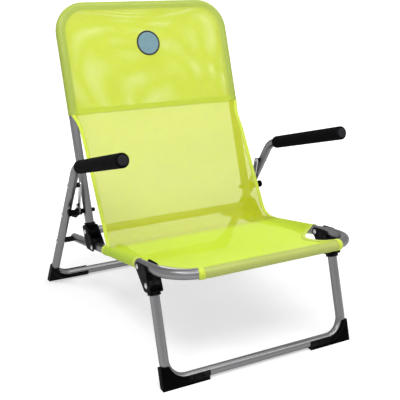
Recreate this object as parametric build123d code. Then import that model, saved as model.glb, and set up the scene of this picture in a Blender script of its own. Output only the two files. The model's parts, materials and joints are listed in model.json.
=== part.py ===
from build123d import *
import os
from math import cos, radians, sin, sqrt, tan

# Folding low camp chair: steel tube frames, moulded brackets and a mesh sling.
# Millimetres. +X is the sitter's left, the chair faces -Y, +Z is up, the floor is at Z = 0.

# Tubes, shared by all four frames
TUBE = 21.0
TUBE_WALL = 1.2
SEAT_HALF_WIDTH = 225.0
ARM_OFFSET = 42.0

# Seat frame: a U that rises to the front from the rear pivots, with its front bar set down a little
SEAT_TILT = 11.2
SEAT_LENGTH = 586.0
SEAT_BEND = 80.0
SEAT_DIP = 5.0
SEAT_KINK = 492.0
SEAT_KINK_BEND = 150.0
SEAT_TAIL = 15.0
PLUG_HEAD = 5.0
PLUG_ROUND = 4.0
REAR_PIVOT_HEIGHT = 147.0

# Backrest frame: an upside-down U on pivots above the seat tubes
BACK_PIVOT_ALONG = 125.0
BACK_LEAN = 19.3
BACK_LENGTH = 550.0
BACK_BEND = 67.0

# Front leg frame: a U on pivots below the seat tubes
LEG_PIVOT_ALONG = 482.0
LEG_LEAN = 17.3
FOOT_BEND = 45.0

# Rear frame: floor bar, two legs and two arms in one bent tube
REAR_LEAN = 33.0
ELBOW_HEIGHT = 378.0
ELBOW_BEND = 60.0
ARM_RISE = 16.4
ARM_LENGTH = 302.0

# Foam grips and end caps on the arms
GRIP_DIAMETER = 31.0
GRIP_START = 30.0
GRIP_END_ROUND = 4.0
CAP_HEAD = 3.0
CAP_ROUND = 1.8
CAP_SPIGOT = 14.0

# Moulded brackets that straddle the seat tubes
PIVOT_OFFSET = 34.0
RIVET_SETBACK = 38.0
CHEEK = 3.2
CHEEK_PIVOT_RADIUS = 15.0
CHEEK_TOP_RADIUS = 6.0
CHEEK_RIVET_RADIUS = 10.0
CHEEK_TOE_RADIUS = 8.0
CHEEK_TOE_SETBACK = 6.0
CHEEK_EDGE = 0.8
SADDLE_RISE = 19.0
SADDLE_DROP = 5.0
SADDLE_CRADLE = 7.0

# Moulded knuckles on the tube ends
KNUCKLE_WALL = 1.7
COLLAR_REACH = 21.0
SOCKET_FLOOR = 6.0
LIP_RISE = 2.0
LIP_WIDTH = 3.2
LIP_GROOVE = 1.2

# Spreader bar, pivot pins and rivets
SPREADER = 19.0
SPREADER_WALL = 1.5
PIN = 7.0
PIN_HEAD = 12.0
PIN_HEAD_HEIGHT = 2.4
PIN_PLUG = 18.0
RIVET = 6.0
RIVET_HEAD = 11.0
RIVET_HEAD_HEIGHT = 2.2
SPACER = 14.0

# Recline lock: a spring pin on each back tube and a holed plate on each rear leg
LOCK_ALONG = 51.0
LOCK_BARREL = 12.4
LOCK_FLANGE = 17.0
LOCK_FLANGE_THICKNESS = 4.0
LOCK_HOUSING_LENGTH = 10.7
LOCK_PIN = 6.0
LOCK_TRAVEL = 6.0
LOCK_KNOB = 10.0
LOCK_KNOB_LENGTH = 7.0
LOCK_KNOB_ROUND = 1.5
SPRING_CHAMBER = 9.8
SPRING_SOLID = 0.8
PIN_COLLAR = 9.6
PIN_COLLAR_THICKNESS = 1.2
RECLINE_STEP = 12.0
RECLINE_HOLES = 3
PLATE = 3.0
PLATE_WIDTH = 19.0
PLATE_HOLE = 6.6
PLATE_FOOT_HEIGHT = 236.0
PLATE_FOOT_RADIUS = 9.0
STRAP = 2.5
STRAP_WIDTH = 15.0
STRAP_TOP_HEIGHT = 325.0
STRAP_RIVET_SETBACK = 14.0
STRAP_SPACER = 12.0
GUARD_NECK = 12.0
GUARD_KNOB = 18.5
GUARD_KNOB_LENGTH = 8.5
GUARD_LENGTH = 23.0
GUARD_ROUND = 2.6
GUARD_BORE_DEPTH = 6.0

# Corner boots
BOOT_WALL = 2.3
FRONT_BOOT_RISE = 33.0
REAR_BOOT_RISE = 48.0
FRONT_BOOT_LAP = 4.0
REAR_BOOT_LAP = 7.5
BOOT_REACH = 96.0
BOOT_WEB = 15.0
BOOT_SOLE = 3.5

# Mesh sling: hood over the backrest, back panel, seat panel with sleeves
FABRIC = 1.0
SLEEVE_GAP = 0.4
HOOD_BOTTOM = 284.0
PANEL_INSET = 3.0
PANEL_KNEE_DROP = 78.0
PANEL_KNEE_OUT = 26.0
PANEL_KNEE_BEND = 160.0
PANEL_BEND = 38.0
PANEL_CORNER_ALONG = 219.0
SEAT_PANEL_REAR = 248.0
SIDE_SLEEVE_FRONT = 420.0
CORNER_SHOWN = 55.0
NOTCH_BEND = 34.0
PATCH_DIAMETER = 64.0
PATCH_HEIGHT = 451.0

# Clearances
FIT = 0.05        # pins and sockets
RUNNING = 0.3     # faces that pass each other
SEATED = 0.1      # mouldings on tubes

# Derived sizes
R = TUBE / 2
BORE = R - TUBE_WALL
ARM_HALF_WIDTH = SEAT_HALF_WIDTH + ARM_OFFSET
PANEL_HALF_WIDTH = SEAT_HALF_WIDTH - PANEL_INSET
FRONT_SLEEVE_HALF = SEAT_HALF_WIDTH - CORNER_SHOWN
CLEVIS_HALF = R + KNUCKLE_WALL + RUNNING
KNUCKLE_HALF = R + KNUCKLE_WALL
CHEEK_FACE = CLEVIS_HALF + CHEEK
CRADLE_RADIUS = KNUCKLE_HALF + 2 * RUNNING
SLEEVE_IN = R + SLEEVE_GAP
SLEEVE_OUT = SLEEVE_IN + FABRIC
BAR_HEIGHT = R + BOOT_SOLE
BOOT_OUT = R + SEATED + BOOT_WALL
CUT_LENGTH = 4 * TUBE
LIP_RADIUS = KNUCKLE_HALF + LIP_RISE
PIN_SIZE = (PIN, PIN_HEAD, PIN_HEAD_HEIGHT)
RIVET_SIZE = (RIVET, RIVET_HEAD, RIVET_HEAD_HEIGHT)
SIDES = {"left": 1, "right": -1}

tilt = radians(SEAT_TILT)
back_lean = radians(BACK_LEAN)
leg_lean = radians(LEG_LEAN)
rear_lean = radians(REAR_LEAN)
arm_rise = radians(ARM_RISE)

# The rear pivot is placed so that the chair's box is centred on Y = 0
FRONT_REACH = SEAT_LENGTH * cos(tilt) + SEAT_DIP * sin(tilt) + SLEEVE_OUT
REAR_REACH = REAR_PIVOT_HEIGHT * tan(rear_lean) + BOOT_WEB / 2 / cos(rear_lean)
REAR_PIVOT_Y = (FRONT_REACH - REAR_REACH) / 2


def seat_point(along, above):
    """Side view point, from the rear pivot forwards along the seat and square to it."""
    y = REAR_PIVOT_Y - along * cos(tilt) + above * sin(tilt)
    z = REAR_PIVOT_HEIGHT + along * sin(tilt) + above * cos(tilt)
    return y, z


def rear_leg_point(height):
    """Side view point on the rear leg's centre line."""
    return REAR_PIVOT_Y + (REAR_PIVOT_HEIGHT - height) * tan(rear_lean), height


BACK_PIVOT = seat_point(BACK_PIVOT_ALONG, PIVOT_OFFSET)
LEG_PIVOT = seat_point(LEG_PIVOT_ALONG, -PIVOT_OFFSET)
ELBOW = rear_leg_point(ELBOW_HEIGHT)
REAR_CORNER = rear_leg_point(BAR_HEIGHT)
ARM_END = (ELBOW[0] - ARM_LENGTH * cos(arm_rise), ELBOW[1] + ARM_LENGTH * sin(arm_rise))
leg_drop = (LEG_PIVOT[1] - BAR_HEIGHT) / cos(leg_lean)
LOCK = (BACK_PIVOT[0] + LOCK_ALONG * sin(back_lean), BACK_PIVOT[1] + LOCK_ALONG * cos(back_lean))
STRAP_TOP = rear_leg_point(STRAP_TOP_HEIGHT)
PLATE_FOOT = rear_leg_point(PLATE_FOOT_HEIGHT)
HOUSING_END = SEAT_HALF_WIDTH + R + LOCK_HOUSING_LENGTH
STRAP_FACE = HOUSING_END + RUNNING
PLATE_FACE = STRAP_FACE + STRAP
CHAMBER_END = SEAT_HALF_WIDTH + R + LOCK_TRAVEL + PIN_COLLAR_THICKNESS + SPRING_SOLID

# Working planes
SEAT_PLANE = Plane((0, REAR_PIVOT_Y, REAR_PIVOT_HEIGHT), x_dir=(1, 0, 0), z_dir=(0, sin(tilt), cos(tilt)))
BACK_PLANE = Plane((0, *BACK_PIVOT), x_dir=(1, 0, 0), z_dir=(0, -cos(back_lean), sin(back_lean)))
LEG_PLANE = Plane((0, *LEG_PIVOT), x_dir=(1, 0, 0), z_dir=(0, cos(leg_lean), -sin(leg_lean)))
REAR_PLANE = Plane((0, *REAR_CORNER), x_dir=(1, 0, 0), z_dir=(0, cos(rear_lean), sin(rear_lean)))
SIDE_PLANE = Plane((0, 0, 0), x_dir=(0, 1, 0), z_dir=(1, 0, 0))


def cross_cylinder(point, x_from, x_to, diameter):
    """Cylinder along X through a side view point."""
    middle = (x_from + x_to) / 2
    return Pos(middle, *point) * Rot(0, 90, 0) * Cylinder(diameter / 2, abs(x_to - x_from))


def swept(path, section):
    """Section swept along a path, square to its start."""
    return sweep(Plane(path @ 0, z_dir=path % 0) * section, path=path)


def swept_sheet(path, width):
    """Cloth of one width along a side view path."""
    start = Plane(path @ 0, x_dir=(1, 0, 0), z_dir=path % 0)
    return sweep(start * Rectangle(width, FABRIC), path=path)


def bent_tube(path):
    return swept(path, Circle(R) - Circle(BORE))


def bent_rod(path, radius):
    return swept(path, Circle(radius))


def headed_pin(point, x_from, x_to, size, both_ends=True):
    """Pin along X between two seating faces, with a domed head at x_to and, if asked, at x_from."""
    diameter, head, height = size
    out = 1 if x_to > x_from else -1
    foot = [Line((x_from, 0), (x_from, diameter / 2))]
    if both_ends:
        apex, rim = (x_from - out * height, 0), (x_from, head / 2)
        foot = [TangentArc(apex, rim, tangent=(0, 1)), Line(rim, (x_from, diameter / 2))]
    apex, rim = (x_to + out * height, 0), (x_to, head / 2)
    shank = Line((x_from, diameter / 2), (x_to, diameter / 2))
    top = [Line((x_to, diameter / 2), rim), TangentArc(apex, rim, tangent=(0, 1))]
    axis = Line(apex, foot[0] @ 0)
    return Pos(0, *point) * revolve(make_face([*foot, shank, *top, axis]), Axis.X)


def both_sides(make):
    """One solid for each side of the chair, as a list."""
    return [make(side) for side in SIDES.values()]


def seat_path():
    half = SEAT_HALF_WIDTH
    left = [(half, SEAT_TAIL, 0), (half, -SEAT_KINK, 0), (half, -SEAT_LENGTH, -SEAT_DIP)]
    right = [(-x, y, z) for x, y, z in reversed(left)]
    radii = [SEAT_KINK_BEND, SEAT_BEND, SEAT_BEND, SEAT_KINK_BEND]
    return SEAT_PLANE * FilletPolyline(*left, *right, radius=radii)


def back_path(start=SOCKET_FLOOR):
    half = SEAT_HALF_WIDTH
    corners = [(-half, start), (-half, BACK_LENGTH), (half, BACK_LENGTH), (half, start)]
    return BACK_PLANE * FilletPolyline(*corners, radius=BACK_BEND)


def leg_path():
    half = SEAT_HALF_WIDTH
    corners = [(-half, SOCKET_FLOOR), (-half, leg_drop), (half, leg_drop), (half, SOCKET_FLOOR)]
    return LEG_PLANE * FilletPolyline(*corners, radius=FOOT_BEND)


def rear_path():
    half = ARM_HALF_WIDTH
    left = [(half, *ARM_END), (half, *ELBOW), (half, *REAR_CORNER)]
    right = [(-x, y, z) for x, y, z in reversed(left)]
    radii = [ELBOW_BEND, FOOT_BEND, FOOT_BEND, ELBOW_BEND]
    return FilletPolyline(*left, *right, radius=radii)


def seat_rivet_points():
    """Rivets through the seat tubes: front of the back bracket, rear of the leg bracket."""
    return [seat_point(BACK_PIVOT_ALONG + RIVET_SETBACK, 0), seat_point(LEG_PIVOT_ALONG - RIVET_SETBACK, 0)]


def seat_frame_tube():
    tube = bent_tube(seat_path())
    for side in SIDES.values():
        x = side * SEAT_HALF_WIDTH
        for point in seat_rivet_points():
            tube -= cross_cylinder(point, x - TUBE, x + TUBE, RIVET + 2 * FIT)
        tube -= cross_cylinder(seat_point(0, 0), x - TUBE, x + TUBE, PIN + 2 * FIT)
    return tube


def back_frame_tube():
    tube = bent_tube(back_path())
    for side in SIDES.values():
        x = side * SEAT_HALF_WIDTH
        tube -= cross_cylinder(LOCK, x - TUBE, x + TUBE, LOCK_PIN + 2 * FIT)
    return tube


def front_leg_tube():
    return bent_tube(leg_path())


def rear_arm_tube():
    tube = bent_tube(rear_path())
    for side in SIDES.values():
        x = side * ARM_HALF_WIDTH
        tube -= cross_cylinder(seat_point(0, 0), x - TUBE, x + TUBE, PIN + 2 * FIT)
        for point in (STRAP_TOP, PLATE_FOOT):
            tube -= cross_cylinder(point, x - TUBE, x + TUBE, RIVET + 2 * FIT)
    return tube


def bracket(side, pivot, turn):
    """Two cheeks on a saddle, with the pivot at the origin and the tube along Y below it."""
    rivet = (-RIVET_SETBACK, -PIVOT_OFFSET)
    toe = (-CHEEK_TOE_SETBACK, -PIVOT_OFFSET)
    top = CHEEK_PIVOT_RADIUS - CHEEK_TOP_RADIUS
    rounds = Pos(*rivet) * Circle(CHEEK_RIVET_RADIUS)
    rounds += Pos(-top, top) * Circle(CHEEK_TOP_RADIUS)
    rounds += Pos(top, top) * Circle(CHEEK_TOP_RADIUS)
    rounds += Pos(*toe) * Circle(CHEEK_TOE_RADIUS)
    outline = make_hull(rounds.edges())
    outline -= Circle(PIN / 2 + FIT)
    outline -= Pos(*rivet) * Circle(RIVET / 2 + FIT)
    cheek = SIDE_PLANE * extrude(outline, CHEEK, dir=(0, 0, 1))
    outer = Pos(CLEVIS_HALF, 0, 0) * cheek
    outer = chamfer(outer.faces().sort_by(Axis.X)[-1].outer_wire().edges(), CHEEK_EDGE)
    inner = mirror(outer, Plane.YZ)
    length = RIVET_SETBACK - CHEEK_TOE_SETBACK + CHEEK_RIVET_RADIUS
    saddle_y = -RIVET_SETBACK - CHEEK_RIVET_RADIUS / 2 + length / 2
    saddle_z = -PIVOT_OFFSET + (SADDLE_RISE - SADDLE_DROP) / 2
    saddle = Pos(0, saddle_y, saddle_z) * Box(2 * CLEVIS_HALF, length, SADDLE_RISE + SADDLE_DROP)
    cradle = Pos(0, saddle_y + length / 2, 0) * Box(
        2 * CLEVIS_HALF, SADDLE_CRADLE, PIVOT_OFFSET - R, align=(Align.CENTER, Align.MIN, Align.MAX))
    saddle += cradle - cross_cylinder((0, 0), -CHEEK_FACE, CHEEK_FACE, 2 * CRADLE_RADIUS)
    saddle -= Pos(0, saddle_y, -PIVOT_OFFSET) * Rot(90, 0, 0) * Cylinder(R + SEATED, 2 * length)
    saddle -= cross_cylinder(rivet, -CHEEK_FACE, CHEEK_FACE, RIVET + 2 * FIT)
    solid = outer + inner + saddle
    return Pos(side * SEAT_HALF_WIDTH, *pivot) * Rot(turn - SEAT_TILT, 0, 0) * solid


def knuckle(side, pivot, turn):
    """Pivot barrel with a lipped collar that takes the tube end, built along +Z."""
    solid = cross_cylinder((0, 0), -KNUCKLE_HALF, KNUCKLE_HALF, 2 * KNUCKLE_HALF)
    solid += Pos(0, 0, COLLAR_REACH / 2) * Cylinder(KNUCKLE_HALF, COLLAR_REACH)
    lip = Cylinder(LIP_RADIUS, LIP_WIDTH) & Box(2 * KNUCKLE_HALF, 2 * LIP_RADIUS, LIP_WIDTH)
    for place in (0, 1):
        solid += Pos(0, 0, COLLAR_REACH - LIP_WIDTH / 2 - place * (LIP_WIDTH + LIP_GROOVE)) * lip
    socket = COLLAR_REACH - SOCKET_FLOOR
    solid -= Pos(0, 0, SOCKET_FLOOR + socket / 2) * Cylinder(R + FIT, socket)
    solid -= cross_cylinder((0, 0), -TUBE, TUBE, PIN + 2 * FIT)
    return Pos(side * SEAT_HALF_WIDTH, *pivot) * Rot(turn, 0, 0) * solid


def spreader_bar():
    """Cross tube on the backrest's pivot line, between the inner cheeks."""
    half = SEAT_HALF_WIDTH - CHEEK_FACE
    bar = cross_cylinder(BACK_PIVOT, -half, half, SPREADER)
    return bar - cross_cylinder(BACK_PIVOT, -half, half, SPREADER - 2 * SPREADER_WALL)


def back_pivot_pin(side):
    """Shouldered pin: a plug in the spreader bar, a shank through the bracket, a domed head."""
    inner = side * (SEAT_HALF_WIDTH - CHEEK_FACE)
    outer = side * (SEAT_HALF_WIDTH + CHEEK_FACE)
    pin = headed_pin(BACK_PIVOT, inner, outer, PIN_SIZE, both_ends=False)
    plug = SPREADER - 2 * SPREADER_WALL - 2 * FIT
    return pin + cross_cylinder(BACK_PIVOT, inner - side * PIN_PLUG, inner, plug)


def leg_pivot_pin(side):
    inner = side * (SEAT_HALF_WIDTH - CHEEK_FACE)
    outer = side * (SEAT_HALF_WIDTH + CHEEK_FACE)
    return headed_pin(LEG_PIVOT, inner, outer, PIN_SIZE)


def rear_pivot_pin(side):
    """Pin through the seat tube's tail, the spacer and the rear leg."""
    inner = side * (SEAT_HALF_WIDTH - R)
    outer = side * (ARM_HALF_WIDTH + R + FIT)
    return headed_pin(seat_point(0, 0), inner, outer, PIN_SIZE)


def bracket_rivets():
    rivets = []
    for side in SIDES.values():
        inner = side * (SEAT_HALF_WIDTH - CHEEK_FACE)
        outer = side * (SEAT_HALF_WIDTH + CHEEK_FACE)
        for point in seat_rivet_points():
            rivets.append(headed_pin(point, inner, outer, RIVET_SIZE))
    return rivets


def rear_pivot_spacer(side):
    """Spacer from the seat tube to the rear leg, coped to the seat tube."""
    axis = side * SEAT_HALF_WIDTH
    end = side * (ARM_HALF_WIDTH - R - RUNNING)
    spacer = cross_cylinder(seat_point(0, 0), axis, end, SPACER)
    spacer -= cross_cylinder(seat_point(0, 0), axis, end, PIN + 2 * FIT)
    tube = SEAT_PLANE * Pos(axis, 0, 0) * Rot(90, 0, 0) * Cylinder(R + SEATED, CUT_LENGTH)
    return spacer - tube


def tube_plug(head, edge_round, spigot):
    """Plug for a tube end: a rounded head as wide as the tube, on a spigot in its bore."""
    plug = Cylinder(R, head, align=(Align.CENTER, Align.CENTER, Align.MIN))
    plug = fillet(plug.edges().filter_by(GeomType.CIRCLE).sort_by(Axis.Z)[-1:], edge_round)
    return plug + Cylinder(BORE - FIT, spigot, align=(Align.CENTER, Align.CENTER, Align.MAX))


def seat_end_plug(side):
    """Domed plug in the tail of the seat tube, clear of the rear pivot pin."""
    plug = tube_plug(PLUG_HEAD, PLUG_ROUND, SEAT_TAIL - PIN)
    return SEAT_PLANE * Pos(side * SEAT_HALF_WIDTH, SEAT_TAIL, 0) * Rot(-90, 0, 0) * plug


def lock_housing(side):
    """Barrel and flange on the back tube, with a spring chamber round the pin."""
    axis = side * SEAT_HALF_WIDTH
    end = side * HOUSING_END
    shoulder = end - side * LOCK_FLANGE_THICKNESS
    housing = cross_cylinder(LOCK, axis, end, LOCK_BARREL)
    housing += cross_cylinder(LOCK, shoulder, end, LOCK_FLANGE)
    housing -= cross_cylinder(LOCK, axis, end, LOCK_PIN + 2 * FIT)
    housing -= cross_cylinder(LOCK, axis, side * CHAMBER_END, SPRING_CHAMBER)
    tube = BACK_PLANE * Pos(axis, LOCK_ALONG, 0) * Rot(90, 0, 0) * Cylinder(R + SEATED, CUT_LENGTH)
    return housing - tube


def lock_pin(side):
    """Spring pin through the back tube, with a collar in the spring chamber."""
    tip = side * HOUSING_END
    tail = side * (SEAT_HALF_WIDTH - R - RUNNING - LOCK_KNOB_LENGTH / 2)
    stop = side * (CHAMBER_END - FIT)
    pin = cross_cylinder(LOCK, tail, tip, LOCK_PIN)
    return pin + cross_cylinder(LOCK, stop - side * PIN_COLLAR_THICKNESS, stop, PIN_COLLAR)


def lock_knob(side):
    """Pull knob on the inner end of the lock pin."""
    face = side * (SEAT_HALF_WIDTH - R - RUNNING)
    end = face - side * LOCK_KNOB_LENGTH
    knob = cross_cylinder(LOCK, face, end, LOCK_KNOB)
    knob -= cross_cylinder(LOCK, face, face - side * LOCK_KNOB_LENGTH / 2, LOCK_PIN + 2 * FIT)
    rim = knob.edges().filter_by(GeomType.CIRCLE).group_by(Axis.X)[0 if side > 0 else -1]
    return fillet(rim, LOCK_KNOB_ROUND)


def recline_plate(side):
    """Holed plate on the rear leg, with its holes on the lock pin's arc about the back pivot."""
    arc_start = 90 - BACK_LEAN
    sweep_back = RECLINE_STEP * (RECLINE_HOLES - 1)
    centre = Pos(*BACK_PIVOT)
    outline = centre * SlotArc(CenterArc((0, 0), LOCK_ALONG, arc_start - sweep_back, sweep_back), PLATE_WIDTH)
    last = CenterArc(BACK_PIVOT, LOCK_ALONG, arc_start - sweep_back, 1) @ 0
    foot = Pos(*PLATE_FOOT) * Circle(PLATE_FOOT_RADIUS)
    lug = Pos(last.X, last.Y) * Circle(PLATE_WIDTH / 2) + foot
    outline += make_hull(lug.edges())
    joint = strap_joint()
    ear = Pos(*LOCK) * Circle(STRAP_WIDTH / 2) + Pos(*joint) * Circle(STRAP_WIDTH / 2)
    outline += make_hull(ear.edges())
    for step in range(RECLINE_HOLES):
        hole = CenterArc(BACK_PIVOT, LOCK_ALONG, arc_start - step * RECLINE_STEP, 1) @ 0
        outline -= Pos(hole.X, hole.Y) * Circle(PLATE_HOLE / 2)
    for point in (PLATE_FOOT, joint):
        outline -= Pos(*point) * Circle(RIVET / 2 + FIT)
    near = PLATE_FACE if side > 0 else -PLATE_FACE - PLATE
    return SIDE_PLANE * Pos(0, 0, near) * extrude(outline, PLATE, dir=(0, 0, 1))


def strap_joint():
    """Rivet that joins the strap to the plate, on the strap above the lock pin."""
    dy, dz = STRAP_TOP[0] - LOCK[0], STRAP_TOP[1] - LOCK[1]
    share = STRAP_RIVET_SETBACK / sqrt(dy * dy + dz * dz)
    return LOCK[0] + share * dy, LOCK[1] + share * dz


def recline_strap(side):
    """Flat brace from the top of the rear leg to the front of the plate."""
    ends = Pos(*STRAP_TOP) * Circle(STRAP_WIDTH / 2) + Pos(*LOCK) * Circle(STRAP_WIDTH / 2)
    outline = make_hull(ends.edges())
    outline -= Pos(*LOCK) * Circle(PLATE_HOLE / 2)
    for point in (STRAP_TOP, strap_joint()):
        outline -= Pos(*point) * Circle(RIVET / 2 + FIT)
    near = STRAP_FACE if side > 0 else -STRAP_FACE - STRAP
    return SIDE_PLANE * Pos(0, 0, near) * extrude(outline, STRAP, dir=(0, 0, 1))


def recline_guard(side):
    """Moulded knob on the outside of the plate, over the first hole."""
    root = side * (PLATE_FACE + PLATE)
    end = root + side * GUARD_LENGTH
    knob = cross_cylinder(LOCK, end - side * GUARD_KNOB_LENGTH, end, GUARD_KNOB)
    knob = fillet(knob.edges().filter_by(GeomType.CIRCLE), GUARD_ROUND)
    guard = knob + cross_cylinder(LOCK, root, end - side * GUARD_KNOB_LENGTH / 2, GUARD_NECK)
    return guard - cross_cylinder(LOCK, root, root + side * GUARD_BORE_DEPTH, PLATE_HOLE)


def leg_spacer(side, point, face):
    """Spacer from a flat link to the rear leg, coped to the leg."""
    axis = side * ARM_HALF_WIDTH
    spacer = cross_cylinder(point, side * face, axis, STRAP_SPACER)
    spacer -= cross_cylinder(point, side * face, axis, RIVET + 2 * FIT)
    leg = REAR_PLANE * Pos(axis, 0, 0) * Rot(90, 0, 0) * Cylinder(R + SEATED, 4 * ELBOW_HEIGHT)
    return spacer - leg


def recline_spacers():
    spacers = []
    for side in SIDES.values():
        spacers.append(leg_spacer(side, STRAP_TOP, STRAP_FACE + STRAP))
        spacers.append(leg_spacer(side, PLATE_FOOT, PLATE_FACE + PLATE))
    return spacers


def recline_rivets():
    """Two rivets through each rear leg, and one, flush inside, that joins each strap to its plate."""
    rivets = []
    for side in SIDES.values():
        outer = side * (ARM_HALF_WIDTH + R)
        for point, face in ((STRAP_TOP, STRAP_FACE), (PLATE_FOOT, PLATE_FACE)):
            rivets.append(headed_pin(point, side * face, outer, RIVET_SIZE))
        far = side * (PLATE_FACE + PLATE)
        rivets.append(headed_pin(strap_joint(), side * STRAP_FACE, far, RIVET_SIZE, both_ends=False))
    return rivets


def boot(plane, half, corner, side, lean, rise, lap):
    """Corner boot on a floor bar: a sleeve over the bend's outside and a web to the floor."""
    local = plane * Pos(side * half, corner, 0) * Rot(0, 0 if side < 0 else 180, 0)
    top = max(rise, FOOT_BEND) + TUBE
    path = FilletPolyline((0, -top), (0, 0), (BOOT_REACH, 0), radius=FOOT_BEND)
    depth = BAR_HEIGHT / cos(lean) + BOOT_WEB
    edges = [
        Line((lap, -top), (-BOOT_OUT, -top)),
        Line((-BOOT_OUT, -top), (-BOOT_OUT, depth)),
        Line((-BOOT_OUT, depth), (BOOT_REACH, depth)),
        Line((BOOT_REACH, depth), (BOOT_REACH, -lap)),
        Line((BOOT_REACH, -lap), (FOOT_BEND, -lap)),
        CenterArc((FOOT_BEND, -FOOT_BEND), FOOT_BEND - lap, 90, 90),
        Line((lap, -FOOT_BEND), (lap, -top)),
    ]
    above = Pos(0, -rise - top / 2) * Rectangle(CUT_LENGTH, top)
    outline = make_face(edges) - above
    ridge = bent_rod(path, BOOT_OUT) & extrude(outline, 2 * R, both=True)
    solid = ridge + extrude(outline, BOOT_WEB / 2, both=True)
    solid -= bent_rod(path, R + SEATED)
    return split(local * solid, bisect_by=Plane.XY, keep=Keep.TOP)


def arm_frame(side, along):
    """Plane square to an arm, at a distance from the elbow."""
    y = ELBOW[0] - along * cos(arm_rise)
    z = ELBOW[1] + along * sin(arm_rise)
    return Plane((side * ARM_HALF_WIDTH, y, z), x_dir=(1, 0, 0), z_dir=(0, -cos(arm_rise), sin(arm_rise)))


def arm_grip(side):
    length = ARM_LENGTH - GRIP_START
    upright = (Align.CENTER, Align.CENTER, Align.MIN)
    grip = Cylinder(GRIP_DIAMETER / 2, length, align=upright)
    grip = fillet(grip.edges().filter_by(GeomType.CIRCLE), GRIP_END_ROUND)
    grip -= Cylinder(R + FIT, length, align=upright)
    return arm_frame(side, GRIP_START) * grip


def arm_cap(side):
    return arm_frame(side, ARM_LENGTH) * tube_plug(CAP_HEAD, CAP_ROUND, CAP_SPIGOT)


def hood():
    """Pocket over the top of the backrest: two sheets joined round the tube."""
    path = back_path(HOOD_BOTTOM)
    ring = Circle(SLEEVE_OUT) - Circle(SLEEVE_IN)
    start = Plane(path @ 0, x_dir=(1, 0, 0), z_dir=path % 0)
    rim = sweep(start * (ring - Pos(R, 0) * Rectangle(TUBE, 2 * TUBE)), path=path)
    half, height = SEAT_HALF_WIDTH, BACK_LENGTH - HOOD_BOTTOM
    sheet = Pos(0, HOOD_BOTTOM + height / 2) * Rectangle(2 * half, height)
    sheet = fillet(sheet.vertices().group_by(Axis.Y)[-1], BACK_BEND)
    front = BACK_PLANE * Pos(0, 0, SLEEVE_IN) * extrude(sheet, FABRIC, dir=(0, 0, 1))
    rear = BACK_PLANE * Pos(0, 0, -SLEEVE_OUT) * extrude(sheet, FABRIC, dir=(0, 0, 1))
    return rim + front + rear


def hood_patch():
    """Plain round patch sewn on the hood's front."""
    return BACK_PLANE * Pos(0, PATCH_HEIGHT, SLEEVE_OUT) * extrude(Circle(PATCH_DIAMETER / 2), FABRIC)


def back_panel():
    """Single sheet from the hood's front edge down to the seat panel."""
    middle = (SLEEVE_IN + SLEEVE_OUT) / 2
    top = BACK_PLANE.from_local_coords((0, HOOD_BOTTOM - RUNNING, middle))
    knee = BACK_PLANE.from_local_coords((0, HOOD_BOTTOM - PANEL_KNEE_DROP, middle + PANEL_KNEE_OUT))
    corner = Vector(0, *seat_point(PANEL_CORNER_ALONG, middle))
    end = Vector(0, *seat_point(SEAT_PANEL_REAR - SEATED, middle))
    path = FilletPolyline(top, knee, corner, end, radius=[PANEL_KNEE_BEND, PANEL_BEND])
    return swept_sheet(path, 2 * PANEL_HALF_WIDTH)


def seat_panel():
    """Stretched sheet with sleeves on the side tubes and the front bar, notched at the front corners."""
    middle = (SLEEVE_IN + SLEEVE_OUT) / 2
    rear, kink = (0, -SEAT_PANEL_REAR, middle), (0, -SEAT_KINK, middle)
    front = (0, -SEAT_LENGTH, middle - SEAT_DIP)
    path = SEAT_PLANE * FilletPolyline(rear, kink, front, radius=SEAT_KINK_BEND)
    panel = swept_sheet(path, 2 * SEAT_HALF_WIDTH)
    panel += swept(seat_path(), Circle(SLEEVE_OUT) - Circle(SLEEVE_IN))
    behind = Pos(0, -SEAT_PANEL_REAR, 0) * Box(
        2 * ARM_HALF_WIDTH, SEAT_LENGTH, CUT_LENGTH, align=(Align.CENTER, Align.MIN, Align.CENTER))
    panel -= SEAT_PLANE * behind
    length = SEAT_LENGTH - SIDE_SLEEVE_FRONT + 2 * NOTCH_BEND
    width = CORNER_SHOWN + 2 * NOTCH_BEND
    notch = extrude(fillet(Rectangle(width, length).vertices(), NOTCH_BEND), CUT_LENGTH / 2, both=True)
    middle_x, middle_y = FRONT_SLEEVE_HALF + width / 2, -SIDE_SLEEVE_FRONT - length / 2
    for side in SIDES.values():
        panel -= SEAT_PLANE * Pos(side * middle_x, middle_y) * notch
    return panel


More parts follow.
